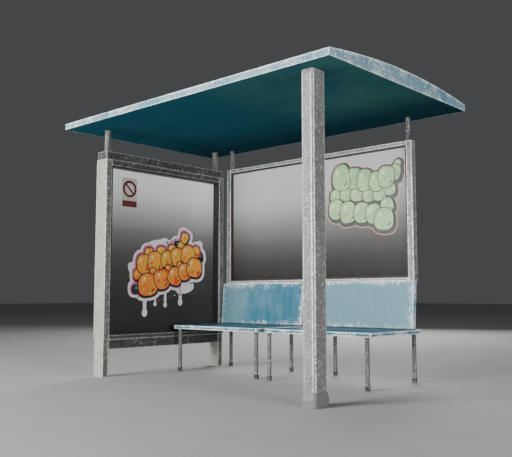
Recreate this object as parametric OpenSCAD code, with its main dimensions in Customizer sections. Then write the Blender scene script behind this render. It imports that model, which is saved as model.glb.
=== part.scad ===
// Bus shelter. A flat-bottomed roof with an arched top is carried by one corner post, by an
// end panel at the left and by a back panel that stands on the bench's backrests.
// Millimetres, +Z up, +X along the roof, front edge towards -Y.
// The origin is on the ground under the middle of the roof.

/* [Roof] */
// Length of the roof, along X
roof_w = 3090; // [2500:10:4200]
// Depth of the roof, along Y
roof_d = 1920; // [1600:10:2600]
// Clear height under the roof
underside_z = 2300; // [1900:10:3000]
// Height of the front and rear fascia, with the top sheet's edge
fascia_h = 54; // [40:1:90]
// Rise of the arched top above the fascia
crown_rise = 67; // [30:1:140]
// Thickness of the roof's sheets
sheet_t = 4; // [2:0.5:8]

/* [Corner post] */
// Width of the post, along X
post_w = 107; // [80:1:140]
// Depth of the post, along Y
post_d = 148; // [100:1:200]
// Chamfer on the post's four corners
post_chamfer = 15; // [5:1:25]
// From the roof's right end to the middle of the post
post_end_inset = 289; // [150:1:400]
// From the roof's front edge to the middle of the post
post_front_inset = 194; // [130:1:400]
// How far the shoe stands out from the post, along X
shoe_out_x = 10; // [4:1:30]
// How far the shoe stands out from the post, along Y
shoe_out_y = 12; // [4:1:30]
// Height of the shoe's upright foot
shoe_foot_h = 50; // [20:1:90]
// Height of the shoe's slope above its foot
shoe_slope_h = 52; // [20:1:120]
// Thickness of the plate under the post
shoe_plate_t = 12; // [6:1:20]
// Wall left at the top of the shoe's slope
shoe_lip = 1.5; // [1:0.5:4]

/* [End panel] */
// From the roof's left end to the middle of the end panel
end_inset = 255; // [180:1:400]
// From the roof's front edge to the front leg
end_front_inset = 243; // [100:1:400]
// From the rear leg to the roof's rear edge
end_rear_inset = 152; // [80:1:400]
// Thickness of the legs and rails, along X
end_t = 137; // [100:1:180]
// Depth of each leg, along Y
end_leg_d = 58; // [40:1:90]
// Height of the top rail
end_top_rail_h = 76; // [40:1:120]
// Height of the bottom rail
end_bottom_rail_h = 89; // [50:1:140]
// Clear height under the bottom rail
end_clear_z = 250; // [80:1:400]
// How far the casing stands out on both faces
casing_proud = 10; // [4:1:20]
// Thickness of the casing on the legs' outer edges
casing_edge_t = 4; // [2:1:10]
// Height of the casing's top member
casing_top_h = 53; // [30:1:90]
// Height of the casing's bottom member
casing_bottom_h = 39; // [20:1:90]

/* [Panes and liners] */
// Thickness of both panes
pane_t = 8; // [5:1:12]
// How far each pane sits behind the middle of its frame
pane_setback = 3.5; // [0:0.5:6]
// Thickness of the black liner round an opening, which holds the pane in a groove
liner_w = 16; // [12:1:24]
// How deep a pane's edge sits in the liner
liner_bite = 8; // [4:1:10]
// How far the liner's edges sit inside the frame's faces
liner_inset = 6; // [1:1:12]
// Gap between the ends of neighbouring liner strips
liner_gap = 0.5; // [0.3:0.1:0.9]

/* [Roof tubes] */
// Clear height between the panels' tops and the roof
roof_gap = 208; // [100:1:400]
// Diameter of the tubes on the end panel
end_tube_dia = 58; // [30:1:80]
// From the end panel's corner to the middle of its tube
end_tube_inset = 56; // [45:1:120]
// Diameter of the tubes on the back panel
back_tube_dia = 42; // [25:1:50]
// From the back panel's end to the middle of its tube
back_tube_inset = 46; // [30:1:120]

/* [Bench] */
// Height of the seats' top faces
seat_z = 450; // [380:1:520]
// Thickness of the seats
seat_t = 36; // [20:1:60]
// Depth of the seats, along Y
seat_d = 783; // [500:1:900]
// Gap between the two seats
seat_gap = 100; // [20:1:200]
// Gap between the end panel's casing and the left seat
bench_left_gap = 21; // [5:1:100]
// From the right seat's end to the roof's right end
bench_right_inset = 415; // [300:1:700]
// From the seats' rear edge to the roof's rear edge
bench_rear_inset = 73; // [20:1:200]
// Height of the backrests above the seats
backrest_h = 419; // [250:1:600]
// Thickness of the backrests
backrest_t = 50; // [30:1:80]
// How far the backrests' tops lean back
backrest_lean = 36; // [0:1:60]
// From the seat's rear edge to the foot of the backrest's front face
backrest_setback = 122; // [100:1:250]
// How far each backrest ends short of its seat's right end
backrest_short = 20; // [0:1:80]

/* [Bench legs] */
// Diameter of the legs
leg_dia = 36; // [25:1:60]
// Diameter of the collar at the top of a leg
collar_dia = 46; // [40:1:80]
// Height of the collar
collar_h = 12; // [6:1:30]
// Diameter of the rubber foot
foot_dia = 41; // [38:1:80]
// Diameter of the ring round the top of the foot
foot_ring_dia = 47; // [40:1:90]
// Height of the rubber foot
foot_h = 20; // [8:1:40]
// Height of the ring above the foot
foot_ring_h = 18; // [6:1:30]
// From the seat's front edge to the middle of the front legs
leg_front_inset = 35; // [26:1:150]
// From the seat's rear edge to the middle of the rear legs
leg_rear_inset = 32; // [26:1:150]
// From the bench's outer end to the middle of its outer legs
leg_outer_inset = 60; // [30:1:300]
// From the seat's inner end to the middle of the inner front leg
leg_inner_front_inset = 28; // [26:1:300]
// From the seat's inner end to the middle of the inner rear leg
leg_inner_rear_inset = 217; // [30:1:400]

/* [Back panel] */
// From the left seat's end to the back panel's left end
back_left_inset = 50; // [0:1:150]
// From the back panel's right end to the right seat's end
back_right_inset = 12; // [0:1:150]
// Thickness of the back panel's frame
back_t = 61; // [40:1:80]
// Width of the stiles
back_stile_w = 54; // [30:1:90]
// Height of the top rail
back_top_rail_h = 36; // [25:1:90]
// Height of the bottom rail
back_bottom_rail_h = 25; // [20:1:90]

/* [Notice] */
// Width of the notice, along Y
notice_w = 176; // [80:1:260]
// Height of the notice
notice_h = 284; // [120:1:400]
// Thickness of the notice
notice_t = 3; // [1:0.5:6]
// From the pane's visible front edge to the notice
notice_side_gap = 160; // [10:1:300]
// From the pane's visible top edge to the notice
notice_top_gap = 68; // [10:1:300]

/* [Hidden] */

STEEL = "#a3a5a4";
ROOF_PAINT = "#6d9cac";
SOFFIT_PAINT = "#23566a";
BENCH_PAINT = "#5f93a6";
PANE_GREY = "#5d5f60";
RUBBER = "#1d1e1f";
BLACK_TRIM = "#202122";
NOTICE_WHITE = "#e6e6e2";

// Roof
arch_r = (pow(roof_d / 2, 2) + pow(crown_rise, 2)) / (2 * crown_rise);
crown_z = underside_z + fascia_h + crown_rise;
arch_fn = 720;
panel_top_z = underside_z - roof_gap;

// Corner post
post_x = roof_w / 2 - post_end_inset;
post_y = -roof_d / 2 + post_front_inset;
shoe_w = post_w + 2 * shoe_out_x;
shoe_d = post_d + 2 * shoe_out_y;
shoe_h = shoe_foot_h + shoe_slope_h;

// End panel
end_x = -roof_w / 2 + end_inset;
end_y0 = -roof_d / 2 + end_front_inset;
end_y1 = roof_d / 2 - end_rear_inset;
end_top_rail_z = panel_top_z - end_top_rail_h;
end_bottom_top_z = end_clear_z + end_bottom_rail_h;
end_open_y0 = end_y0 + end_leg_d;
end_open_w = end_y1 - end_leg_d - end_open_y0;
end_open_z0 = end_bottom_top_z + casing_bottom_h;
end_open_h = end_top_rail_z - casing_top_h - end_open_z0;
casing_t = end_t + 2 * casing_proud;
casing_h = end_top_rail_z - end_bottom_top_z;
end_liner_t = casing_t - 2 * liner_inset;

// Panes and liners
pane_edge = liner_w - liner_bite;

// Bench
bench_x0 = end_x + casing_t / 2 + bench_left_gap;
bench_x1 = roof_w / 2 - bench_right_inset;
seat_w = (bench_x1 - bench_x0 - seat_gap) / 2;
right_seat_x0 = bench_x1 - seat_w;
seat_y1 = roof_d / 2 - bench_rear_inset;
seat_y0 = seat_y1 - seat_d;
seat_bottom_z = seat_z - seat_t;
backrest_w = seat_w - backrest_short;
backrest_y0 = seat_y1 - backrest_setback;
backrest_top_z = seat_z + backrest_h;
leg_z0 = foot_h + foot_ring_h;
leg_front_y = seat_y0 + leg_front_inset;
leg_rear_y = seat_y1 - leg_rear_inset;
left_outer_x = bench_x0 + leg_outer_inset;
left_inner_front_x = bench_x0 + seat_w - leg_inner_front_inset;
left_inner_rear_x = bench_x0 + seat_w - leg_inner_rear_inset;
right_outer_x = bench_x1 - leg_outer_inset;
right_inner_front_x = right_seat_x0 + leg_inner_front_inset;
right_inner_rear_x = right_seat_x0 + leg_inner_rear_inset;
leg_fn = 64;

// Back panel
back_x0 = bench_x0 + back_left_inset;
back_x1 = bench_x1 - back_right_inset;
back_y = backrest_y0 + backrest_lean + backrest_t / 2;
back_open_x0 = back_x0 + back_stile_w;
back_open_w = back_x1 - back_stile_w - back_open_x0;
back_open_z0 = backrest_top_z + back_bottom_rail_h;
back_open_h = panel_top_z - back_top_rail_h - back_open_z0;
back_liner_t = back_t - 2 * liner_inset;

// A box from its lowest corner and its size.
module box(corner, size) {
    translate(corner) cube(size);
}

// ---- Roof ----

// Everything below the arch of radius r about the arch's own axis.
module under_arch(r) {
    translate([0, 0, crown_z - arch_r])
        rotate([0, 90, 0])
            cylinder(h = roof_w + 2, r = r, center = true, $fn = arch_fn);
}

// An upright sheet whose top edge follows the underside of the top sheet.
module arched_sheet(corner, w, d) {
    intersection() {
        box(corner, [w, d, crown_z]);
        under_arch(arch_r - sheet_t);
    }
}

module roof_top_sheet() {
    color(ROOF_PAINT)
        difference() {
            intersection() {
                box([-roof_w / 2, -roof_d / 2, underside_z], [roof_w, roof_d, crown_z]);
                under_arch(arch_r);
            }
            under_arch(arch_r - sheet_t);
        }
}

module roof_soffit() {
    inner_w = roof_w - 2 * sheet_t;
    inner_d = roof_d - 2 * sheet_t;
    color(SOFFIT_PAINT)
        box([-inner_w / 2, -inner_d / 2, underside_z], [inner_w, inner_d, sheet_t]);
}

// A long fascia between the end sheets, with its outer or inner face at y.
module roof_fascia(y) {
    color(ROOF_PAINT)
        arched_sheet([-roof_w / 2 + sheet_t, y, underside_z], roof_w - 2 * sheet_t, sheet_t);
}

module roof_end(x) {
    color(ROOF_PAINT)
        arched_sheet([x, -roof_d / 2, underside_z], sheet_t, roof_d);
}

module roof_front_fascia() { roof_fascia(-roof_d / 2); }
module roof_rear_fascia() { roof_fascia(roof_d / 2 - sheet_t); }
module roof_left_end() { roof_end(-roof_w / 2); }
module roof_right_end() { roof_end(roof_w / 2 - sheet_t); }

// ---- Corner post ----

// A rectangle about the origin with its four corners cut off.
module chamfered_rect(w, d, c) {
    x = w / 2;
    y = d / 2;
    polygon([
        [c - x, -y], [x - c, -y], [x, c - y], [x, y - c],
        [x - c, y], [c - x, y], [-x, y - c], [-x, c - y]
    ]);
}

module post_section(h) {
    linear_extrude(h) chamfered_rect(post_w, post_d, post_chamfer);
}

module corner_post() {
    color(STEEL)
        translate([post_x, post_y, shoe_plate_t]) post_section(underside_z - shoe_plate_t);
}

// A shoe with an upright foot and a slope up to the post, which stands in its pocket.
module corner_post_shoe() {
    top_scale = [(post_w + 2 * shoe_lip) / shoe_w, (post_d + 2 * shoe_lip) / shoe_d];
    color(STEEL)
        translate([post_x, post_y, 0])
            difference() {
                union() {
                    linear_extrude(shoe_foot_h) chamfered_rect(shoe_w, shoe_d, post_chamfer);
                    translate([0, 0, shoe_foot_h])
                        linear_extrude(shoe_slope_h, scale = top_scale, slices = 1)
                            chamfered_rect(shoe_w, shoe_d, post_chamfer);
                }
                translate([0, 0, shoe_plate_t]) post_section(shoe_h);
            }
}

// ---- Panes in their liners ----
// Drawn for an opening along X, with its lower left corner at the origin and the middle of
// the frame at y = 0. The pane is at y = pane_setback.

// One grooved strip of length l and depth t, with its groove facing +Z.
module liner_strip(l, t) {
    difference() {
        box([0, -t / 2, 0], [l, t, liner_w]);
        box([-1, pane_setback - pane_t / 2, pane_edge], [l + 2, pane_t, liner_w]);
    }
}

// Four strips of depth t round an opening w by h.
module liner_frame(w, h, t) {
    side_z = liner_w + liner_gap;
    side_h = h - 2 * side_z;
    liner_strip(w, t);
    translate([0, 0, h]) mirror([0, 0, 1]) liner_strip(w, t);
    translate([0, 0, side_z + side_h]) rotate([0, 90, 0]) liner_strip(side_h, t);
    translate([w, 0, side_z]) rotate([0, -90, 0]) liner_strip(side_h, t);
}

// A pane whose edges reach into the liner of an opening w by h.
module pane(w, h) {
    box([pane_edge, pane_setback - pane_t / 2, pane_edge],
        [w - 2 * pane_edge, pane_t, h - 2 * pane_edge]);
}

// ---- End panel ----

module end_leg(y) {
    color(STEEL) box([end_x - end_t / 2, y, 0], [end_t, end_leg_d, end_top_rail_z]);
}

module end_front_leg() { end_leg(end_y0); }
module end_rear_leg() { end_leg(end_y1 - end_leg_d); }

module end_top_rail() {
    color(STEEL)
        box([end_x - end_t / 2, end_y0, end_top_rail_z], [end_t, end_y1 - end_y0, end_top_rail_h]);
}

module end_bottom_rail() {
    color(STEEL)
        box([end_x - end_t / 2, end_open_y0, end_clear_z], [end_t, end_open_w, end_bottom_rail_h]);
}

// A channel that clads the outer edge and both faces of a leg whose outer edge is at y = 0.
module casing_channel() {
    color(STEEL)
        difference() {
            box([-casing_t / 2, -casing_edge_t, 0], [casing_t, end_leg_d + casing_edge_t, casing_h]);
            box([-end_t / 2, 0, -1], [end_t, end_leg_d + 1, casing_h + 2]);
        }
}

module end_casing_front() {
    translate([end_x, end_y0, end_bottom_top_z]) casing_channel();
}

module end_casing_rear() {
    translate([end_x, end_y1, end_bottom_top_z]) mirror([0, 1, 0]) casing_channel();
}

// A casing member across the panel, between the legs.
module casing_bar(z, h) {
    color(STEEL) box([end_x - casing_t / 2, end_open_y0, z], [casing_t, end_open_w, h]);
}

module end_casing_top() { casing_bar(end_top_rail_z - casing_top_h, casing_top_h); }
module end_casing_bottom() { casing_bar(end_bottom_top_z, casing_bottom_h); }

// Turns an opening drawn along X into the end panel's opening along Y.
module in_end_panel() {
    translate([end_x, end_open_y0, end_open_z0]) rotate([0, 0, 90]) children();
}

module end_liner() {
    color(BLACK_TRIM) in_end_panel() liner_frame(end_open_w, end_open_h, end_liner_t);
}

module end_pane() {
    color(PANE_GREY) in_end_panel() pane(end_open_w, end_open_h);
}

// A round tube from a panel's top up to the roof.
module roof_tube(x, y, dia) {
    color(STEEL) translate([x, y, panel_top_z]) cylinder(h = roof_gap, d = dia, $fn = leg_fn);
}

module end_front_tube() { roof_tube(end_x, end_y0 + end_tube_inset, end_tube_dia); }
module end_rear_tube() { roof_tube(end_x, end_y1 - end_tube_inset, end_tube_dia); }

module notice_plate() {
    pane_face_x = end_x - pane_setback + pane_t / 2;
    front_y = end_open_y0 + liner_w + notice_side_gap;
    top_z = end_open_z0 + end_open_h - liner_w - notice_top_gap;
    color(NOTICE_WHITE)
        box([pane_face_x, front_y, top_z - notice_h], [notice_t, notice_w, notice_h]);
}

// ---- Back panel ----

module back_stile(x) {
    color(STEEL)
        box([x, back_y - back_t / 2, backrest_top_z],
            [back_stile_w, back_t, panel_top_z - backrest_top_z]);
}

module back_rail(z, h) {
    color(STEEL) box([back_open_x0, back_y - back_t / 2, z], [back_open_w, back_t, h]);
}

module back_left_stile() { back_stile(back_x0); }
module back_right_stile() { back_stile(back_x1 - back_stile_w); }
module back_top_rail() { back_rail(panel_top_z - back_top_rail_h, back_top_rail_h); }
module back_bottom_rail() { back_rail(backrest_top_z, back_bottom_rail_h); }

module in_back_panel() {
    translate([back_open_x0, back_y, back_open_z0]) children();
}

module back_liner() {
    color(BLACK_TRIM) in_back_panel() liner_frame(back_open_w, back_open_h, back_liner_t);
}

module back_pane() {
    color(PANE_GREY) in_back_panel() pane(back_open_w, back_open_h);
}

module back_left_tube() { roof_tube(back_x0 + back_tube_inset, back_y, back_tube_dia); }
module back_right_tube() { roof_tube(back_x1 - back_tube_inset, back_y, back_tube_dia); }

// ---- Bench ----

module seat(x) {
    color(BENCH_PAINT) box([x, seat_y0, seat_bottom_z], [seat_w, seat_d, seat_t]);
}

module left_seat() { seat(bench_x0); }
module right_seat() { seat(right_seat_x0); }

// A slab that leans back, with level top and bottom faces.
module backrest(x) {
    color(BENCH_PAINT)
        translate([x, backrest_y0, seat_z])
            rotate([90, 0, 90])
                linear_extrude(backrest_w)
                    polygon([
                        [0, 0], [backrest_t, 0],
                        [backrest_t + backrest_lean, backrest_h], [backrest_lean, backrest_h]
                    ]);
}

module left_backrest() { backrest(bench_x0); }
module right_backrest() { backrest(right_seat_x0); }

// A round leg with a collar under the seat.
module bench_leg(x, y) {
    color(STEEL)
        translate([x, y, 0]) {
            translate([0, 0, leg_z0])
                cylinder(h = seat_bottom_z - leg_z0, d = leg_dia, $fn = leg_fn);
            translate([0, 0, seat_bottom_z - collar_h])
                cylinder(h = collar_h, d = collar_dia, $fn = leg_fn);
        }
}

module left_front_outer_leg() { bench_leg(left_outer_x, leg_front_y); }
module left_front_inner_leg() { bench_leg(left_inner_front_x, leg_front_y); }
module left_rear_outer_leg() { bench_leg(left_outer_x, leg_rear_y); }
module left_rear_inner_leg() { bench_leg(left_inner_rear_x, leg_rear_y); }
module right_front_outer_leg() { bench_leg(right_outer_x, leg_front_y); }
module right_front_inner_leg() { bench_leg(right_inner_front_x, leg_front_y); }
module right_rear_outer_leg() { bench_leg(right_outer_x, leg_rear_y); }
module right_rear_inner_leg() { bench_leg(right_inner_rear_x, leg_rear_y); }

// A rubber foot with a wider ring round its top.
module bench_foot(x, y) {
    translate([x, y, 0]) {
        cylinder(h = foot_h, d = foot_dia, $fn = leg_fn);
        translate([0, 0, foot_h]) cylinder(h = foot_ring_h, d = foot_ring_dia, $fn = leg_fn);
    }
}

module seat_feet(outer_x, inner_front_x, inner_rear_x) {
    color(RUBBER) {
        bench_foot(outer_x, leg_front_y);
        bench_foot(outer_x, leg_rear_y);
        bench_foot(inner_front_x, leg_front_y);
        bench_foot(inner_rear_x, leg_rear_y);
    }
}

module left_seat_feet() { seat_feet(left_outer_x, left_inner_front_x, left_inner_rear_x); }
module right_seat_feet() { seat_feet(right_outer_x, right_inner_front_x, right_inner_rear_x); }

roof_top_sheet();
roof_soffit();
roof_front_fascia();
roof_rear_fascia();
roof_left_end();
roof_right_end();
corner_post();
corner_post_shoe();
end_front_leg();
end_rear_leg();
end_top_rail();
end_bottom_rail();
end_casing_front();
end_casing_rear();
end_casing_top();
end_casing_bottom();
end_liner();
end_pane();
end_front_tube();
end_rear_tube();
notice_plate();
back_left_stile();
back_right_stile();
back_top_rail();
back_bottom_rail();
back_liner();
back_pane();
back_left_tube();
back_right_tube();
left_seat();
right_seat();
left_backrest();
right_backrest();
left_front_outer_leg();
left_front_inner_leg();
left_rear_outer_leg();
left_rear_inner_leg();
right_front_outer_leg();
right_front_inner_leg();
right_rear_outer_leg();
right_rear_inner_leg();
left_seat_feet();
right_seat_feet();
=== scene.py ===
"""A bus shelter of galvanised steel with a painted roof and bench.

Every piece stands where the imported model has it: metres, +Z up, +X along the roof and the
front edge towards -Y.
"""
import math
import random

import bmesh
import bpy
from mathutils import Matrix, Vector


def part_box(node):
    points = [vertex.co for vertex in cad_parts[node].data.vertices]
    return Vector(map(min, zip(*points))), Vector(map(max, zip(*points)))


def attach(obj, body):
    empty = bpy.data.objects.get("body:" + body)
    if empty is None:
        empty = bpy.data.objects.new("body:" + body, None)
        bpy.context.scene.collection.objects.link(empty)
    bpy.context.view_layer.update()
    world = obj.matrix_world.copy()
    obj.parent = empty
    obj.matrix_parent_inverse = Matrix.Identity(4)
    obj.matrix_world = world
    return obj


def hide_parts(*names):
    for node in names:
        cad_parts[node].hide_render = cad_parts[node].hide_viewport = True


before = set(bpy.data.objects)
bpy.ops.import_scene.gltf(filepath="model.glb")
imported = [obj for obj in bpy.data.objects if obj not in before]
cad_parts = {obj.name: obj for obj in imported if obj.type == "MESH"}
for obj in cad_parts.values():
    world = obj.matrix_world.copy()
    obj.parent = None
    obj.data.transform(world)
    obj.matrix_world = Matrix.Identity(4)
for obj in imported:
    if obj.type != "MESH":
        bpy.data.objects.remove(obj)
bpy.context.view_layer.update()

MM = 0.001


# ---- Nodes ----

def linear(code):
    """Turns an sRGB hex colour into Blender's linear one."""
    parts = [int(code[i:i + 2], 16) / 255 for i in (1, 3, 5)]
    curve = [p / 12.92 if p <= 0.04045 else ((p + 0.055) / 1.055) ** 2.4 for p in parts]
    return curve + [1.0]


def add(tree, kind, sockets=None, **settings):
    """Adds a node. Settings are its properties, and each socket gets a value or an output."""
    node = tree.nodes.new(kind)
    for name, value in settings.items():
        setattr(node, name, value)
    for key, value in (sockets or {}).items():
        if isinstance(value, bpy.types.NodeSocket):
            tree.links.new(value, node.inputs[key])
        else:
            node.inputs[key].default_value = value
    return node


def material(name):
    """A new material with its node tree and its shader."""
    made = bpy.data.materials.new(name)
    made.use_nodes = True
    return made, made.node_tree, made.node_tree.nodes["Principled BSDF"]


# ---- Patterns ----

# The turns, in radians, of the scratches that cross an upright face.
LEANS = [(0.6, 0, 0), (-0.7, 0, 0), (0, 0.5, 0), (0, -0.8, 0)]


def patches(tree, size, start, end, stretch=(1, 1, 1), turn=(0, 0, 0), detail=3):
    """A mask of blotches size metres across, 0 below start and 1 above end."""
    place = add(tree, "ShaderNodeTexCoord").outputs["Object"]
    scaled = add(tree, "ShaderNodeMapping", {
        "Vector": place, "Rotation": turn, "Scale": [size * s for s in stretch],
    }, vector_type="TEXTURE")
    noise = add(tree, "ShaderNodeTexNoise", {
        "Vector": scaled.outputs[0], "Scale": 1.0, "Detail": detail,
    })
    return add(tree, "ShaderNodeMapRange", {
        "Value": noise.outputs[0], "From Min": start, "From Max": end,
    }).outputs[0]


def strokes(tree, length, width, start, end):
    """A mask of short straight scratches, one set for each lean."""
    total = patches(tree, width, start, end, (1, 1, length / width), LEANS[0], 2)
    for lean in LEANS[1:]:
        more = patches(tree, width, start, end, (1, 1, length / width), lean, 2)
        total = add(tree, "ShaderNodeMath", {0: total, 1: more}, operation="MAXIMUM").outputs[0]
    return total


def rubbed_edges(tree, ragged, start, end):
    """A mask of ragged wear that eats in from a piece's edges, where its attribute is highest."""
    edge = add(tree, "ShaderNodeAttribute", attribute_name="edge").outputs["Fac"]
    total = add(tree, "ShaderNodeMath", {0: edge, 1: ragged}, operation="ADD").outputs[0]
    return add(tree, "ShaderNodeMapRange", {
        "Value": total, "From Min": start, "From Max": end,
    }).outputs[0]


def height_share(tree, low, high):
    """0 at the height low and 1 at the height high, in metres."""
    place = add(tree, "ShaderNodeTexCoord").outputs["Object"]
    z = add(tree, "ShaderNodeSeparateXYZ", {0: place}).outputs["Z"]
    return add(tree, "ShaderNodeMapRange", {
        "Value": z, "From Min": low, "From Max": high,
    }).outputs[0]


# ---- Materials ----

def galvanised_steel(name, dark, pale, bright, scratched, mottle=1.0, fine=1.0):
    """Hot-dip galvanised steel after years outdoors. The zinc has gone matt and blotchy between
    dark and pale, hands and bags have left short bright scratches, and the edges are rubbed.
    The higher scratched is, the fewer the scratches. A fine finish suits a thin tube."""
    made, tree, shader = material(name)
    clouds = patches(tree, 90 * MM, 0.35, 0.65)
    spread = 0.14 / mottle
    speckle = patches(tree, 14 * MM * fine, 0.5 - spread, 0.5 + spread, detail=5)
    tone = add(tree, "ShaderNodeMath", {0: speckle, 1: clouds}, operation="MULTIPLY").outputs[0]
    zinc = add(tree, "ShaderNodeMixRGB", {
        "Fac": tone, "Color1": linear(dark), "Color2": linear(pale),
    })
    # Real scratches are a hair wide. These are 7 mm, about the least that still shows.
    scratches = strokes(tree, 60 * MM * fine, 7 * MM * fine, scratched, scratched + 0.035)
    ragged = strokes(tree, 28 * MM * fine, 8 * MM * fine, 0.42, 0.74)
    rubbed = rubbed_edges(tree, ragged, 1.22, 1.62)
    worn = add(tree, "ShaderNodeMath", {0: scratches, 1: rubbed}, operation="MAXIMUM").outputs[0]
    colour = add(tree, "ShaderNodeMixRGB", {
        "Fac": worn, "Color1": zinc.outputs[0], "Color2": linear(bright),
    })
    gloss = add(tree, "ShaderNodeMapRange", {"Value": worn, "To Min": 0.58, "To Max": 0.42})
    bump = add(tree, "ShaderNodeBump", {"Height": speckle, "Strength": 0.35, "Distance": 1 * MM})
    tree.links.new(colour.outputs[0], shader.inputs["Base Color"])
    tree.links.new(gloss.outputs[0], shader.inputs["Roughness"])
    tree.links.new(bump.outputs[0], shader.inputs["Normal"])
    shader.inputs["Metallic"].default_value = 0.35
    return made


# The primer's colour, which also paints the highlight along lined edges.
PRIMER_AND_HIGHLIGHT = "#dfe6e9"
# The colour of painted shade at a crease.
CONTACT_SHADE = "#26363b"


def chipped_paint(name, fresh, chalky, chalk, crease=None):
    """Brushed gloss paint on sheet steel, chalked by the sun where the function chalk says.
    Rain has drawn streaks down it, and it has flaked off along the edges to the pale primer. On a
    lined piece the pale line along the very edges is a painted highlight as well as bare primer.
    Painted shade darkens its foot, up to a little over the crease at the height of that name."""
    made, tree, shader = material(name)
    streaks = patches(tree, 34 * MM, 0.3, 0.7, (1, 1, 14))
    faded = add(tree, "ShaderNodeMath", {0: streaks, 1: 0.38, 2: chalk(tree)},
                operation="MULTIPLY_ADD", use_clamp=True).outputs[0]
    coat = add(tree, "ShaderNodeMixRGB", {
        "Fac": faded, "Color1": linear(fresh), "Color2": linear(chalky),
    })
    # Flakes of three sizes: splinters, chips and the stretches that have more of both.
    ragged = strokes(tree, 34 * MM, 7 * MM, 0.44, 0.72)
    for size, share in ((12 * MM, 0.4), (120 * MM, 0.35)):
        flakes = patches(tree, size, 0.4, 0.62)
        ragged = add(tree, "ShaderNodeMath", {0: flakes, 1: share, 2: ragged},
                     operation="MULTIPLY_ADD").outputs[0]
    # The pale line along a lined piece's very edges is a painted highlight as well as bare primer.
    chips_and_edge_highlight = rubbed_edges(tree, ragged, 1.92, 2.0)
    colour = add(tree, "ShaderNodeMixRGB", {
        "Fac": chips_and_edge_highlight, "Color1": coat.outputs[0], "Color2": linear(PRIMER_AND_HIGHLIGHT),
    })
    # Painted shade: a dark band just above the crease, where a contact shadow would fall.
    if crease:
        unshaded = height_share(tree, crease + 5 * MM, crease + 16 * MM)
        colour = add(tree, "ShaderNodeMixRGB", {
            "Fac": unshaded, "Color1": linear(CONTACT_SHADE), "Color2": colour.outputs[0],
        })
    gloss = add(tree, "ShaderNodeMapRange", {"Value": chips_and_edge_highlight, "To Min": 0.42, "To Max": 0.7})
    bump = add(tree, "ShaderNodeBump", {
        "Height": chips_and_edge_highlight, "Strength": 0.6, "Distance": 1 * MM,
    }, invert=True)
    tree.links.new(colour.outputs[0], shader.inputs["Base Color"])
    tree.links.new(gloss.outputs[0], shader.inputs["Roughness"])
    tree.links.new(bump.outputs[0], shader.inputs["Normal"])
    shader.inputs["Specular IOR Level"].default_value = 0.25
    return made


def roof_chalk(tree):
    """The roof has chalked in loose clouds."""
    return patches(tree, 260 * MM, 0.4, 0.7, detail=2)


SHADED_STRETCH_X = -0.45


def bench_chalk_and_shade(tree):
    """The backrests have chalked in loose clouds. Painted shade keeps a stretch to the left of
    their middle darker, and painted light makes them paler away from it.
    """
    place = add(tree, "ShaderNodeTexCoord").outputs["Object"]
    x = add(tree, "ShaderNodeSeparateXYZ", {0: place}).outputs["X"]
    # Painted shade and light: darkest at the shaded stretch, paler away from it.
    aside = add(tree, "ShaderNodeMath", {0: x, 1: SHADED_STRETCH_X}, operation="SUBTRACT").outputs[0]
    away = add(tree, "ShaderNodeMath", {0: aside}, operation="ABSOLUTE").outputs[0]
    ends = add(tree, "ShaderNodeMapRange", {
        "Value": away, "From Min": 0.3, "From Max": 0.55, "To Max": 0.85,
    }).outputs[0]
    clouds = patches(tree, 300 * MM, 0.5, 0.95, detail=2)
    return add(tree, "ShaderNodeMath", {0: ends, 1: clouds}, operation="ADD").outputs[0]


def seat_chalk(tree):
    """The seats are rubbed clean by use, and have chalked only in thin clouds."""
    clouds = patches(tree, 180 * MM, 0.4, 0.7, detail=2)
    return add(tree, "ShaderNodeMath", {0: clouds, 1: 0.4}, operation="MULTIPLY").outputs[0]


def soffit_paint():
    """Dark teal enamel under the roof, matt, with painted shade that darkens it towards the rear.
    It is greener in clouds at the right-hand end, and has faint paler marks along the roof."""
    made, tree, shader = material("teal soffit enamel")
    place = add(tree, "ShaderNodeTexCoord").outputs["Object"]
    axes = add(tree, "ShaderNodeSeparateXYZ", {0: place})
    # Painted shade: darker towards the rear, deep under the roof, and lighter towards the open
    # front.
    front = add(tree, "ShaderNodeMapRange", {
        "Value": axes.outputs["Y"], "From Min": 0.8, "From Max": -0.1,
    }, interpolation_type="SMOOTHSTEP").outputs[0]
    right = add(tree, "ShaderNodeMapRange", {
        "Value": axes.outputs["X"], "From Min": 0.0, "From Max": 1.0,
    }, interpolation_type="SMOOTHSTEP").outputs[0]
    clouds = patches(tree, 450 * MM, 0.3, 0.6, detail=2)
    greener_clouds = add(tree, "ShaderNodeMath", {0: clouds, 1: right}, operation="MULTIPLY").outputs[0]
    marks = patches(tree, 60 * MM, 0.3, 0.8, (14, 1, 1), detail=1)
    teal = add(tree, "ShaderNodeMixRGB", {
        "Fac": greener_clouds, "Color1": linear("#28596b"), "Color2": linear("#3f6f6c"),
    }).outputs[0]
    # Painted shade: the rear is mixed towards the dark tone.
    shade = add(tree, "ShaderNodeMixRGB", {
        "Fac": front, "Color1": linear("#1b3a48"), "Color2": teal,
    }).outputs[0]
    pale_streaks = add(tree, "ShaderNodeMath", {0: marks, 1: 0.12}, operation="MULTIPLY").outputs[0]
    colour = add(tree, "ShaderNodeMixRGB", {
        "Fac": pale_streaks, "Color1": shade, "Color2": linear("#4c7f88"),
    })
    tree.links.new(colour.outputs[0], shader.inputs["Base Color"])
    shader.inputs["Roughness"].default_value = 0.6
    shader.inputs["Specular IOR Level"].default_value = 0.0
    return made


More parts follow.
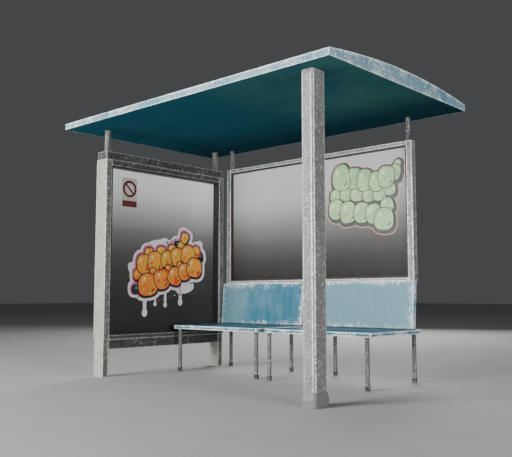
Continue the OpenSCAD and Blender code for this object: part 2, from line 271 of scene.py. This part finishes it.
def painted_reflection_panel(name, node, tones):
    """A coated sheet panel, dark at its foot and pale grey at its head. That run of tone is painted
    reflection and painted light. The panel has a satin face and faint runs of rain dirt."""
    made, tree, shader = material(name)
    low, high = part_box(node)
    # Painted reflection: the colour runs from dark at the pane's foot to pale grey at its head.
    share = height_share(tree, low.z, high.z)
    ramp = add(tree, "ShaderNodeValToRGB", {"Fac": share})
    stops = ramp.color_ramp.elements
    while len(stops) < len(tones):
        stops.new(0.5)
    for stop, (place, tone) in zip(stops, tones):
        stop.position = place
        stop.color = linear(tone)
    runs = patches(tree, 30 * MM, 0.4, 0.8, (1, 1, 25))
    colour = add(tree, "ShaderNodeMixRGB", {
        "Fac": add(tree, "ShaderNodeMath", {0: runs, 1: 0.025}, operation="MULTIPLY").outputs[0],
        "Color1": ramp.outputs[0], "Color2": linear("#8d8d8a"),
    })
    tree.links.new(colour.outputs[0], shader.inputs["Base Color"])
    shader.inputs["Roughness"].default_value = 0.35
    shader.inputs["Specular IOR Level"].default_value = 0.06
    return made


def rubber(name, tone, dust, roughness):
    """Black moulded rubber with a skin of road dust."""
    made, tree, shader = material(name)
    dusty = patches(tree, 25 * MM, 0.45, 0.7)
    colour = add(tree, "ShaderNodeMixRGB", {
        "Fac": dusty, "Color1": linear(tone), "Color2": linear(dust),
    })
    tree.links.new(colour.outputs[0], shader.inputs["Base Color"])
    shader.inputs["Roughness"].default_value = roughness
    return made


def spray_paint(name, tone, other, size=60 * MM):
    """Spray paint, with the soft uneven cover that a can leaves."""
    made, tree, shader = material(name)
    cover = patches(tree, size, 0.35, 0.65)
    colour = add(tree, "ShaderNodeMixRGB", {
        "Fac": cover, "Color1": linear(tone), "Color2": linear(other),
    })
    tree.links.new(colour.outputs[0], shader.inputs["Base Color"])
    shader.inputs["Roughness"].default_value = 0.5
    return made


def sprayed_orange(low, high):
    """Orange spray paint that fades to gold at its head, flicked with spots of other cans."""
    made, tree, shader = material("sprayed orange")
    coat = add(tree, "ShaderNodeMixRGB", {
        "Fac": height_share(tree, low, high), "Color1": linear("#ee7316"),
        "Color2": linear("#eaae3c"),
    }).outputs[0]
    # Size, turn in radians, colour, and the noise above which a spot shows.
    spots = [
        (60 * MM, 0, "#e2481a", 0.6),
        (46 * MM, 1.1, "#b7c331", 0.65),
        (34 * MM, 2.3, "#46a39a", 0.68),
    ]
    for size, turn, tone, start in spots:
        coat = add(tree, "ShaderNodeMixRGB", {
            "Fac": patches(tree, size, start, start + 0.04, turn=(turn, turn, 0), detail=1),
            "Color1": coat, "Color2": linear(tone),
        }).outputs[0]
    tree.links.new(coat, shader.inputs["Base Color"])
    shader.inputs["Roughness"].default_value = 0.5
    return made


def enamel(name, tone, stain):
    """Screen-printed stove enamel, smooth and glossy, dulled by a little grime."""
    made, tree, shader = material(name)
    grime = patches(tree, 45 * MM, 0.45, 0.75, (1, 1, 2))
    colour = add(tree, "ShaderNodeMixRGB", {
        "Fac": grime, "Color1": linear(tone), "Color2": linear(stain),
    })
    gloss = add(tree, "ShaderNodeMapRange", {"Value": grime, "To Min": 0.22, "To Max": 0.45})
    tree.links.new(colour.outputs[0], shader.inputs["Base Color"])
    tree.links.new(gloss.outputs[0], shader.inputs["Roughness"])
    return made


STEEL = galvanised_steel(
    "weathered galvanised steel", "#6d6e6d", "#8e8f8d", "#f0f0ec", 0.665, 0.8)
# Painted shade: the shoe's smooth zinc is toned darker than the post's.
SHADED_SHOE_STEEL = galvanised_steel("smooth zinc darkened as painted shade", "#70716f", "#81827f", "#b6b6b3", 0.7, 0.5)
# Painted light and shade: one zinc as a pale copy for the lit faces of the end legs and casings,
# and a dark copy for their faces towards the ends.
LIT_FACE_STEEL = galvanised_steel("zinc painted light for lit faces", "#999992", "#c2c2bb", "#e4e4de", 0.67, 0.9)
SHADED_SIDE_STEEL = galvanised_steel("mottled zinc painted dark for shaded faces", "#535453", "#7b7c7a", "#cfcfcb", 0.65)
# Painted shade: the rails' zinc is darker than the rest to stand for the shade they lie in.
SHADED_RAIL_STEEL = galvanised_steel("blotched zinc darkened as painted shade", "#343534", "#585957", "#b6b6b2", 0.67)
TUBE_STEEL = galvanised_steel(
    "dull galvanised tube", "#2c2d2d", "#555655", "#dededb", 0.64, fine=0.45)
ROOF_PAINT = chipped_paint("faded blue roof paint", "#4d7f92", "#829da6", roof_chalk)
BENCH_PAINT = chipped_paint(
    "faded blue bench paint", "#1d5f78", "#648b98", bench_chalk_and_shade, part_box("left_backrest")[0].z)
SEAT_PAINT = chipped_paint("rubbed blue seat paint", "#17566d", "#4f7b8a", seat_chalk)
SOFFIT = soffit_paint()
# Heights from a pane's foot to its head, as shares, and the tone at each. The tones paint a
# reflection that runs from dark at the foot to pale at the head, and the end pane's head is painted
# lighter where the roof shades it.
END_REFLECTION_TONES = [
    (0.0, "#333432"), (0.2, "#393938"), (0.38, "#484745"), (0.5, "#5b5957"), (0.62, "#7b7b79"),
    (0.74, "#b0b0ae"), (0.86, "#e0e0de"), (1.0, "#fafaf9"),
]
BACK_REFLECTION_TONES = [
    (0.0, "#2f2e2d"), (0.16, "#3d3c3b"), (0.3, "#525150"), (0.45, "#6e6e6c"), (0.58, "#8b8b8a"),
    (0.72, "#a4a4a3"), (1.0, "#c0c0c0"),
]
END_PANEL = painted_reflection_panel("end panel with painted reflection", "end_pane", END_REFLECTION_TONES)
BACK_PANEL = painted_reflection_panel("back panel with painted reflection", "back_pane", BACK_REFLECTION_TONES)
TRIM = rubber("black glazing rubber", "#1b1b1b", "#2e2d2b", 0.5)
FOOT_RUBBER = rubber("dusty rubber foot", "#2b2b2b", "#6a6864", 0.75)
WHITE_ENAMEL = enamel("white notice enamel", "#bfbfbb", "#a5a39c")
RED_ENAMEL = enamel("red notice enamel", "#600613", "#4c0b12")


# ---- Making pieces ----

def keep(bm, name, finishes, stands_for=()):
    """Makes a piece of the mesh, fixes it to the shelter, and hides the nodes it stands for."""
    mesh = bpy.data.meshes.new(name)
    bm.to_mesh(mesh)
    bm.free()
    for finish in finishes:
        mesh.materials.append(finish)
    piece = bpy.data.objects.new(name, mesh)
    bpy.context.scene.collection.objects.link(piece)
    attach(piece, "root")
    if stands_for:
        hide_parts(*stands_for)


def copied(node):
    """A copy of a CAD node's mesh, joined up, with each flat face in one piece."""
    bm = bmesh.new()
    bm.from_mesh(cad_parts[node].data)
    bmesh.ops.remove_doubles(bm, verts=bm.verts, dist=0.01 * MM)
    bmesh.ops.dissolve_limit(
        bm, angle_limit=math.radians(0.2), verts=bm.verts, edges=bm.edges)
    return bm


def round_edges(bm, radius):
    """Rounds every sharp edge, and returns the set of the rounding's faces."""
    sharp = [e for e in bm.edges if e.calc_face_angle(0) > math.radians(20)]
    made = bmesh.ops.bevel(
        bm, geom=sharp, offset=radius, offset_type="OFFSET", segments=3, profile=0.5,
        affect="EDGES", material=-1, clamp_overlap=True)
    for face in made["faces"]:
        face.smooth = True
    return set(made["faces"])


# The wear attribute of the pale line along a painted edge, which is partly paint rubbed off to the
# primer and partly a painted highlight of the rounded edge, the width of that line, and the widest
# border as a share of a face's shortest side.
HIGHLIGHT_AND_BARE = 1.4
HIGHLIGHT_AND_BARE_LINE = 3 * MM
WIDEST_SHARE = 0.42


def mark_edges(bm, rim, band, lined):
    """Sets the wear attribute. It is 1 at the edges and fades over a border of each flat face up to
    band wide. On a lined piece the very edges are pale as well, partly bare primer and partly a
    painted highlight."""
    layer = bm.verts.layers.float.new("edge")
    for vert in bm.verts:
        vert[layer] = HIGHLIGHT_AND_BARE if lined else 1.0
    borders = [HIGHLIGHT_AND_BARE_LINE, band] if lined else [band]
    for face in [f for f in bm.faces if f not in rim]:
        for border in borders:
            width = min(border, WIDEST_SHARE * min(e.calc_length() for e in face.edges))
            if width < 0.5 * MM:
                break
            bmesh.ops.inset_individual(bm, faces=[face], thickness=width, use_even_offset=True)
            for vert in face.verts:
                vert[layer] = 1 - width / band if border == band else 1.0


def worn_copy(node, finish, radius, band, shaded_side_finish=None, lined=False):
    """A CAD node with rounded edges and the wear attribute round its faces. The faces towards the
    two ends of the shelter may take a finish of their own, a darker copy as painted shade."""
    bm = copied(node)
    rim = round_edges(bm, radius)
    mark_edges(bm, rim, band, lined)
    finishes = [finish]
    if shaded_side_finish:
        finishes.append(shaded_side_finish)
        for face in bm.faces:
            face.material_index = int(abs(face.normal.x) > 0.8)
    keep(bm, node + "_finished", finishes, [node])


def turned(bm, outline, steps, closed=False):
    """Turns an outline of radius and height about the upright axis."""
    verts = [bm.verts.new((radius, 0, height)) for radius, height in outline]
    edges = [bm.edges.new(pair) for pair in zip(verts, verts[1:])]
    if closed:
        edges.append(bm.edges.new((verts[-1], verts[0])))
    bmesh.ops.spin(bm, geom=verts + edges, cent=(0, 0, 0), axis=(0, 0, 1), angle=math.tau,
                   steps=steps, use_merge=True)


def cut(bm, point, direction):
    """Cuts the whole mesh along a plane, and keeps both sides."""
    bmesh.ops.bisect_plane(
        bm, geom=bm.verts[:] + bm.edges[:] + bm.faces[:], plane_co=point, plane_no=direction)


# ---- Roof ----

for node in ("roof_front_fascia", "roof_rear_fascia", "roof_left_end", "roof_right_end"):
    worn_copy(node, ROOF_PAINT, 1.2 * MM, 70 * MM, lined=True)
worn_copy("roof_soffit", SOFFIT, 1.2 * MM, 45 * MM)


def roof_sheet():
    """The arched top sheet, whose wear fades with the distance from its own four sides."""
    band = 80 * MM
    low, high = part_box("roof_top_sheet")
    bm = copied("roof_top_sheet")
    for face in bm.faces:
        face.smooth = abs(face.normal.z) > 0.9
    round_edges(bm, 1.2 * MM)
    for corner, way in ((low, 1), (high, -1)):
        for axis in (Vector((way, 0, 0)), Vector((0, way, 0))):
            cut(bm, corner + axis * band, axis)
    layer = bm.verts.layers.float.new("edge")
    for vert in bm.verts:
        x, y = vert.co.x, vert.co.y
        reach = min(x - low.x, high.x - x, y - low.y, high.y - y)
        # Painted highlight: the sheet's very edges take the pale line, as well as wear.
        vert[layer] = HIGHLIGHT_AND_BARE if reach < HIGHLIGHT_AND_BARE_LINE else max(0.0, 1 - reach / band)
    keep(bm, "roof_top_sheet_finished", [ROOF_PAINT], ["roof_top_sheet"])


roof_sheet()


# ---- Steel frames ----

POST_CHAMFER = 15 * MM
SHOE_FOOT = 50 * MM
SHOE_LIP = 3 * MM


def post_shoe():
    """The shoe round the post's foot: an upright part, then a slope up to the post."""
    low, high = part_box("corner_post_shoe")
    post_low, post_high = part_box("corner_post")
    centre = (low + high) / 2
    size = high - low
    taper_x = (post_high.x - post_low.x + SHOE_LIP) / size.x
    taper_y = (post_high.y - post_low.y + SHOE_LIP) / size.y
    bm = bmesh.new()
    bmesh.ops.create_grid(bm, x_segments=1, y_segments=1, size=0.5)
    bmesh.ops.scale(bm, vec=(size.x, size.y, 1), verts=bm.verts)
    bmesh.ops.bevel(bm, geom=bm.verts[:], offset=POST_CHAMFER, segments=1, profile=0.5,
                    affect="VERTICES", material=-1)
    made = bmesh.ops.extrude_face_region(bm, geom=bm.faces[:])
    top = [item for item in made["geom"] if isinstance(item, bmesh.types.BMVert)]
    bmesh.ops.translate(bm, vec=(0, 0, size.z), verts=top)
    cut(bm, (0, 0, SHOE_FOOT), (0, 0, 1))
    bmesh.ops.scale(bm, vec=(taper_x, taper_y, 1), verts=top)
    bmesh.ops.translate(bm, vec=(centre.x, centre.y, low.z), verts=bm.verts)
    bmesh.ops.recalc_face_normals(bm, faces=bm.faces)
    round_edges(bm, 3 * MM)
    keep(bm, "corner_post_shoe_finished", [SHADED_SHOE_STEEL], ["corner_post_shoe"])


post_shoe()
worn_copy("corner_post", STEEL, 3 * MM, 8 * MM)
# The end legs and casings take the pale zinc as painted light and, on their faces towards the ends,
# the dark zinc as painted shade.
for node in ("end_front_leg", "end_rear_leg", "end_casing_front", "end_casing_rear"):
    worn_copy(node, LIT_FACE_STEEL, 1.5 * MM, 18 * MM, SHADED_SIDE_STEEL)
# The rails take the darker zinc as painted shade.
for node in ("end_top_rail", "end_bottom_rail", "end_casing_top", "end_casing_bottom"):
    worn_copy(node, SHADED_RAIL_STEEL, 1.5 * MM, 18 * MM)
for node in ("back_left_stile", "back_right_stile", "back_top_rail", "back_bottom_rail"):
    worn_copy(node, STEEL, 2 * MM, 18 * MM)
for node in ("end_liner", "back_liner"):
    worn_copy(node, TRIM, 0.8 * MM, 10 * MM)


def round_piece(name, finish, outline, places, stands_for):
    """One piece of the same turned shape at each of the places."""
    bm = bmesh.new()
    for x, y in places:
        single = bmesh.new()
        turned(single, outline, 40)
        bmesh.ops.remove_doubles(single, verts=single.verts, dist=0.01 * MM)
        bmesh.ops.recalc_face_normals(single, faces=single.faces)
        bmesh.ops.translate(single, vec=(x, y, 0), verts=single.verts)
        for face in single.faces:
            face.smooth = True
        for edge in single.edges:
            edge.smooth = edge.calc_face_angle(0) < math.radians(40)
        part = bpy.data.meshes.new("part")
        single.to_mesh(part)
        single.free()
        bm.from_mesh(part)
        bpy.data.meshes.remove(part)
    keep(bm, name, [finish], stands_for)


def middle(node):
    """The x and y of the middle of a node's box."""
    low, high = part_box(node)
    return (low.x + high.x) / 2, (low.y + high.y) / 2


WELD_BEAD = 4 * MM


def roof_tube(node):
    """A tube with a bead of weld at the panel and at the roof."""
    low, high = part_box(node)
    r = (high.x - low.x) / 2
    outer = r + WELD_BEAD
    hollow = r + 0.3 * WELD_BEAD
    outline = [
        (0, low.z), (outer, low.z), (outer, low.z + 1 * MM), (hollow, low.z + WELD_BEAD),
        (r, low.z + 1.5 * WELD_BEAD), (r, high.z - 1.5 * WELD_BEAD),
        (hollow, high.z - WELD_BEAD), (outer, high.z - 1 * MM), (outer, high.z), (0, high.z),
    ]
    round_piece(node + "_finished", TUBE_STEEL, outline, [middle(node)], [node])


for node in ("end_front_tube", "end_rear_tube", "back_left_tube", "back_right_tube"):
    roof_tube(node)


# ---- Bench ----

for node in ("left_seat", "right_seat"):
    worn_copy(node, SEAT_PAINT, 6 * MM, 34 * MM, lined=True)
for node in ("left_backrest", "right_backrest"):
    worn_copy(node, BENCH_PAINT, 4 * MM, 100 * MM, lined=True)

LEG_RADIUS = 18 * MM
COLLAR_HEIGHT = 12 * MM
FOOT_HEIGHT = 20 * MM
FOOT_RADIUS = 20.5 * MM


def bench_leg(node):
    """A leg tube with a rounded collar under the seat."""
    low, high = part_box(node)
    r = LEG_RADIUS
    collar = (high.x - low.x) / 2
    under = high.z - COLLAR_HEIGHT
    outline = [
        (0, low.z), (r, low.z), (r, under - 4 * MM), (r + 1 * MM, under - 1 * MM),
        (collar - 2 * MM, under), (collar, under + 2 * MM), (collar, high.z - 1 * MM),
        (collar - 1 * MM, high.z), (0, high.z),
    ]
    round_piece(node + "_finished", TUBE_STEEL, outline, [middle(node)], [node])


LEGS = [f"{side}_{row}_{end}_leg" for side in ("left", "right") for row in ("front", "rear")
        for end in ("outer", "inner")]
for node in LEGS:
    bench_leg(node)


def feet(side):
    """The rubber feet of one seat: a plug with a fatter ring round its top."""
    node = side + "_seat_feet"
    legs = [leg for leg in LEGS if leg.startswith(side)]
    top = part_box(node)[1].z
    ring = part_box(node)[1].x - max(middle(leg)[0] for leg in legs)
    outline = [
        (0, 0), (FOOT_RADIUS - 2 * MM, 0), (FOOT_RADIUS, 2 * MM), (FOOT_RADIUS, FOOT_HEIGHT),
        (ring - 2 * MM, FOOT_HEIGHT + 0.5 * MM), (ring, FOOT_HEIGHT + 3 * MM),
        (ring, top - 4 * MM), (ring - 3 * MM, top - 0.5 * MM), (LEG_RADIUS, top), (0, top),
    ]
    round_piece(node + "_finished", FOOT_RUBBER, outline,
                [middle(leg) for leg in legs], [node])


for side in ("left", "right"):
    feet(side)


# ---- Panes ----

for node, finish in (("end_pane", END_PANEL), ("back_pane", BACK_PANEL)):
    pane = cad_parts[node].data
    pane.materials.clear()
    pane.materials.append(finish)


# ---- Notice ----

def facing(origin, right, outward):
    """A frame on a panel's face, with its first axis to the right and its second one up."""
    up = Vector((0, 0, 1))
    turn = Matrix((right, up, outward)).transposed().to_4x4()
    return Matrix.Translation(origin) @ turn


def slab(bm, place, centre, size, turn=0.0):
    """A thin block on a panel's face, turned about its own middle."""
    across, up = centre
    shape = Matrix.Translation((across, up, size[2] / 2))
    shape = place @ shape @ Matrix.Rotation(turn, 4, "Z") @ Matrix.Diagonal((*size, 1))
    bmesh.ops.create_cube(bm, size=1, matrix=shape)


INK = 0.6 * MM
RING_WIDTH = 23 * MM
BAR_WIDTH = 18 * MM
STRIP_MARGIN = 3 * MM


def notice():
    """The notice's printed ring and bar over a plain red strip, with no words and no figure."""
    low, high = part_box("notice_plate")
    middle_y = middle("notice_plate")[1]
    width = high.y - low.y
    strip = 0.22 * (high.z - low.z)
    outer = 0.465 * width
    inner = outer - RING_WIDTH
    head = facing((high.x, middle_y, high.z - 0.61 * width), (0, 1, 0), (1, 0, 0))
    foot = facing((high.x, middle_y, low.z), (0, 1, 0), (1, 0, 0))
    bm = bmesh.new()
    turned(bm, [(inner, 0), (outer, 0), (outer, INK), (inner, INK)], 64, closed=True)
    bmesh.ops.transform(bm, matrix=head, verts=bm.verts)
    # The bar's ends run a little way in under the ring.
    slab(bm, head, (0, 0), (2 * inner + 4 * MM, BAR_WIDTH, 0.8 * INK), math.radians(-45))
    slab(bm, foot, (0, strip / 2), (width - STRIP_MARGIN, strip - STRIP_MARGIN, INK))
    bmesh.ops.recalc_face_normals(bm, faces=bm.faces)
    keep(bm, "notice_print", [RED_ENAMEL])


notice()
worn_copy("notice_plate", WHITE_ENAMEL, 0.8 * MM, 8 * MM)


# ---- Sprayed patterns ----
# Clusters of plain round bubbles, with no letters in them. Each coat lies a film or more over
# the one below, and the bubbles of one coat lie a hair over each other, so that no two faces
# share a plane.

FILM = 0.15 * MM
HAIR = 0.01 * MM


def bubble(bm, place, centre, radii, height, lean=0.0, bend=0.0, square=2.6, tone=0, taper=0.0):
    """A flat rounded shape of these half sizes, leaning by degrees, bent like a bean and
    narrower towards its head by the taper."""
    made = bmesh.ops.create_cone(
        bm, cap_ends=True, segments=44, radius1=1, radius2=1, depth=height)
    for vert in made["verts"]:
        x, y, z = vert.co
        reach = (abs(x) ** square + abs(y) ** square) ** (-1 / square)
        x, y = x * reach, y * reach
        vert.co = ((x * (1 - taper * y) + bend * y * y) * radii[0], y * radii[1], z + height / 2)
    turn = Matrix.Rotation(math.radians(lean), 4, "Z")
    bmesh.ops.transform(bm, verts=made["verts"],
                        matrix=place @ Matrix.Translation((*centre, 0)) @ turn)
    for face in {face for vert in made["verts"] for face in vert.link_faces}:
        face.material_index = tone


def drip(bm, place, row, height, tone):
    """A run of paint down from a point, with a drop at its lower end."""
    x, y, length, width = [part * MM for part in row]
    bubble(bm, place, (x, y - length / 2), (width / 2, length / 2), height, tone=tone)
    bubble(bm, place, (x, y - length), (0.75 * width, 0.9 * width), height + HAIR, square=2,
           tone=tone)


def grown(bm, place, shapes, more, height, tone, shift=(0, 0)):
    """All the bubbles of a pattern, each bigger by more and moved by shift, as one coat."""
    for number, (centre, radii, lean, bend, taper) in enumerate(shapes):
        bubble(bm, place, (centre[0] + shift[0], centre[1] + shift[1]),
               (radii[0] + more, radii[1] + more), height + number * HAIR, lean, bend,
               tone=tone, taper=taper)


def metres(rows):
    """Rows of middle, half sizes, lean, bend and taper, from millimetres to metres."""
    return [((x * MM, y * MM), (w * MM, h * MM), *rest) for x, y, w, h, *rest in rows]


# Across and up from the pattern's middle, half width and half height in millimetres, then lean
# in degrees, bend and taper.
ORANGE_BUBBLES = metres([
    (-390, -55, 46, 52, 0, 0, 0), (-255, 165, 50, 48, 10, 0, 0), (-98, 185, 54, 46, 0, 0, 0),
    (42, 210, 48, 46, 0, 0, 0), (168, 240, 50, 54, -10, 0, 0), (212, 335, 46, 54, -20, 0, -0.2),
    (372, 195, 52, 60, 10, 0, 0), (-320, 48, 84, 94, -10, 0.1, -0.1),
    (-172, 78, 94, 98, 10, -0.1, 0.1), (-18, 106, 80, 86, -8, 0.1, 0),
    (116, 134, 86, 92, 8, 0, -0.1), (262, 168, 92, 92, -8, -0.1, 0.1),
    (-205, -30, 44, 42, 0, 0, 0), (-5, 4, 46, 44, 0, 0, 0), (150, 44, 44, 42, 0, 0, 0),
    (-268, -150, 116, 108, 8, 0, 0.1), (-88, -96, 98, 98, 12, 0, -0.1),
    (78, -60, 86, 90, -10, 0.1, 0.1), (214, -14, 84, 86, 6, 0, -0.1),
    (345, 34, 102, 98, -8, 0, 0.1),
])
# Dark bubbles with a teal heart, round the rim of the pattern.
DARK_BUBBLES = metres([
    (-415, -190, 40, 36, 0, 0, 0), (108, 268, 28, 34, 0, 0, 0), (436, 150, 26, 38, 8, 0, 0),
])
# Lobes of the white ground that stand out past the rest.
SATELLITES = metres([
    (-462, 10, 36, 46, 20, 0, 0), (420, 250, 36, 62, -10, 0, 0), (-175, 235, 96, 50, 14, 0, 0),
    (250, -175, 88, 46, 18, 0, 0), (60, 235, 70, 60, 0, 0, 0), (-70, 270, 60, 40, 20, 0, 0),
    (170, -190, 60, 40, 10, 0, 0),
])
# Across and up from the pattern's middle, length and width, in millimetres.
WHITE_DRIPS = [(-300, -250, 175, 44), (-40, -200, 150, 30), (160, -160, 165, 40),
               (-170, -230, 110, 26)]
PINK_DRIP = (160, -130, 120, 16)
# As the orange ones.
GREEN_BUBBLES = metres([
    (378, 285, 34, 40, -30, 0, 0.2), (-292, 58, 66, 60, 0, 0, 0), (-178, 66, 68, 62, 0, 0, 0),
    (-52, 52, 76, 62, 0, 0, 0), (74, 34, 66, 60, 0, 0, 0), (186, 36, 68, 62, 0, 0, 0),
    (296, 66, 56, 52, 0, 0, 0), (352, 214, 58, 66, -20, 0, 0.1), (-96, 204, 82, 98, -6, 0.1, -0.1),
    (-232, 226, 98, 122, 6, 0.1, 0.1), (36, 178, 86, 100, 6, -0.1, 0.1),
    (156, 150, 76, 90, -8, 0.1, -0.1), (262, 180, 84, 96, -4, 0, -0.1),
    (-298, -72, 76, 92, -6, 0.1, -0.1), (-152, -106, 88, 100, 6, -0.1, 0.1),
    (-8, -122, 82, 92, -6, 0.1, 0), (266, -72, 64, 62, 12, 0, 0.1), (120, -142, 78, 88, 6, 0, -0.1),
    (232, -196, 98, 98, -6, 0, 0.1),
])


def film_stack(bm, place, shapes, rim, first, tones):
    """Bubbles one over the next, each with a dark rim, a fill, two highlights and a crease."""
    dark, fill, shine = tones
    # Place and half sizes as shares of the bubble's, then turn in degrees and tone.
    marks = (
        ((-0.4, 0.46), (0.16, 0.24), -34, shine),
        ((-0.58, 0.06), (0.07, 0.09), 0, shine),
        ((0.54, -0.52), (0.07, 0.24), -42, dark),
    )
    for number, (centre, radii, lean, bend, taper) in enumerate(shapes):
        height = first + 2 * FILM * number
        outer = (radii[0] + rim, radii[1] + rim)
        bubble(bm, place, centre, outer, height, lean, bend, tone=dark, taper=taper)
        bubble(bm, place, centre, radii, height + 0.8 * FILM, lean, bend, tone=fill, taper=taper)
        for (across, up), (w, h), turn, tone in marks:
            spot = (centre[0] + across * radii[0], centre[1] + up * radii[1])
            bubble(bm, place, spot, (w * radii[0], h * radii[1]), height + 1.5 * FILM,
                   lean + turn, bend=0.3, square=2, tone=tone)


SPECKS = 46
OVAL_WIDTH = 1.08 * 430
OVAL_HEIGHT = 1.05 * 270
OVAL_CLIMB = 0.3 * 430


def specks(bm, place, tones):
    """Overspray: small round spots along an oval that climbs to the right, in millimetres."""
    draw = random.Random(11)
    for number in range(SPECKS):
        angle = draw.uniform(0, math.tau)
        x = OVAL_WIDTH * math.cos(angle) * MM
        y = (OVAL_HEIGHT * math.sin(angle) + OVAL_CLIMB * math.cos(angle)) * MM
        size = draw.uniform(5, 12) * MM
        tone = draw.choice(tones)
        bubble(bm, place, (x, y), (size, size), 6 * FILM + number * HAIR, square=2, tone=tone)


# The middles of the two patterns on their panes.
ORANGE_Y = 0.11
ORANGE_Z = 1.0
GREEN_X = 0.58
GREEN_Z = 1.62


def orange_pattern():
    """Orange bubbles that climb to the right on the end pane, on a pink and white ground."""
    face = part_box("end_pane")[1].x
    place = facing((face, ORANGE_Y, ORANGE_Z), (0, 1, 0), (1, 0, 0))
    finishes = [
        spray_paint("sprayed white", "#e4e4e0", "#d6d4d2"),
        spray_paint("sprayed pink", "#d9608f", "#b85aa0", 50 * MM),
        spray_paint("sprayed black", "#161415", "#262223"),
        sprayed_orange(ORANGE_Z - 0.25, ORANGE_Z + 0.3),
        spray_paint("sprayed cream", "#f3d9a0", "#efc985", 30 * MM),
        spray_paint("sprayed teal", "#3f9c98", "#2c6f74", 20 * MM),
    ]
    white, pink, dark, fill, shine, teal = range(len(finishes))
    bm = bmesh.new()
    every = ORANGE_BUBBLES + DARK_BUBBLES
    grown(bm, place, SATELLITES, 8 * MM, 1 * FILM, white)
    for number, row in enumerate(WHITE_DRIPS):
        drip(bm, place, row, (2 + 0.2 * number) * FILM, white)
    grown(bm, place, every, 52 * MM, 3 * FILM, white)
    grown(bm, place, every, 27 * MM, 5 * FILM, pink)
    drip(bm, place, PINK_DRIP, 6.5 * FILM, pink)
    grown(bm, place, every, 14 * MM, 7 * FILM, dark, (4 * MM, -10 * MM))
    first = 9 * FILM
    film_stack(bm, place, ORANGE_BUBBLES, 10 * MM, first, (dark, fill, shine))
    for (x, y), (w, h), lean, *rest in DARK_BUBBLES:
        bubble(bm, place, (x, y), (w, h), first + 0.2 * FILM, lean, tone=dark)
        bubble(bm, place, (x + 0.2 * w, y + 0.2 * h), (0.4 * w, 0.4 * h), first + 1.2 * FILM,
               tone=teal)
    specks(bm, place, (white, pink, dark, fill))
    keep(bm, "orange_spray_pattern", finishes)


def green_pattern():
    """Pale green bubbles with a dark rim and a thin salmon line, on the back pane."""
    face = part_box("back_pane")[0].y
    place = facing((GREEN_X, face, GREEN_Z), (1, 0, 0), (0, -1, 0))
    finishes = [
        spray_paint("sprayed salmon", "#dd9a90", "#d78b84"),
        spray_paint("sprayed dark green", "#333a33", "#3d463d"),
        spray_paint("sprayed pale green", "#85ad78", "#9cc08f", 90 * MM),
        spray_paint("sprayed light green", "#c0dab7", "#cfe2c7", 30 * MM),
    ]
    salmon, dark, fill, shine = range(len(finishes))
    bm = bmesh.new()
    shade = (6 * MM, -12 * MM)
    grown(bm, place, GREEN_BUBBLES, 34 * MM, 1 * FILM, salmon, shade)
    grown(bm, place, GREEN_BUBBLES, 28 * MM, 3 * FILM, dark, shade)
    film_stack(bm, place, GREEN_BUBBLES, 8 * MM, 5 * FILM, (dark, fill, shine))
    keep(bm, "green_spray_pattern", finishes)


orange_pattern()
green_pattern()


# ---- Studio ----

def floor():
    """A plain pale floor, wide enough for every view."""
    made, tree, shader = material("pale studio floor")
    grain = patches(tree, 400 * MM, 0.3, 0.7)
    colour = add(tree, "ShaderNodeMixRGB", {
        "Fac": grain, "Color1": linear("#adadab"), "Color2": linear("#b2b2b0"),
    })
    tree.links.new(colour.outputs[0], shader.inputs["Base Color"])
    shader.inputs["Roughness"].default_value = 0.8
    bm = bmesh.new()
    bmesh.ops.create_grid(bm, x_segments=1, y_segments=1, size=60)
    mesh = bpy.data.meshes.new("studio_floor")
    bm.to_mesh(mesh)
    bm.free()
    mesh.materials.append(made)
    ground = bpy.data.objects.new("studio_floor", mesh)
    bpy.context.scene.collection.objects.link(ground)


def soft_box(name, place, aim, size, watts):
    """A rectangular studio light at place, turned to the point aim, that the camera can't see."""
    lamp = bpy.data.lights.new(name, "AREA")
    lamp.shape = "RECTANGLE"
    lamp.size, lamp.size_y = size
    lamp.energy = watts
    holder = bpy.data.objects.new(name, lamp)
    holder.location = place
    holder.rotation_mode = "QUATERNION"
    holder.rotation_quaternion = (Vector(aim) - Vector(place)).to_track_quat("-Z", "Y")
    holder.visible_camera = False
    bpy.context.scene.collection.objects.link(holder)


def sky():
    """A dim even light from all round."""
    world = bpy.data.worlds.new("studio")
    world.use_nodes = True
    glow = world.node_tree.nodes["Background"]
    glow.inputs["Color"].default_value = linear("#8c8f92")
    glow.inputs["Strength"].default_value = 0.25
    bpy.context.scene.world = world


# Where the camera stands, how far it looks up, its turn about the upright, and its lens.
CAMERA_PLACE = (4.2167, -4.5756, 0.7373)
CAMERA_TILT = 0.0952
CAMERA_TURN = 0.7428
CAMERA_LENS = 49.72


def camera():
    """A camera at waist height in front of the post, looking up a little."""
    lens = bpy.data.cameras.new("camera")
    lens.lens = CAMERA_LENS
    holder = bpy.data.objects.new("camera", lens)
    holder.location = CAMERA_PLACE
    holder.rotation_euler = (math.pi / 2 + CAMERA_TILT, 0, CAMERA_TURN)
    bpy.context.scene.collection.objects.link(holder)
    bpy.context.scene.camera = holder


floor()
# A key light in front, a low fill far to the right and a light behind: place, the point it
# aims at, size and watts.
soft_box("key", (-1.5, -8.5, 3.0), (0, 0, 1.2), (4, 4), 1350)
soft_box("fill", (14.0, -4.0, 1.7), (-1.2, 0, 1.2), (5, 3), 1500)
soft_box("rear", (-4.5, 8.0, 4.5), (0, 0, 1.2), (5, 4), 550)
sky()
camera()
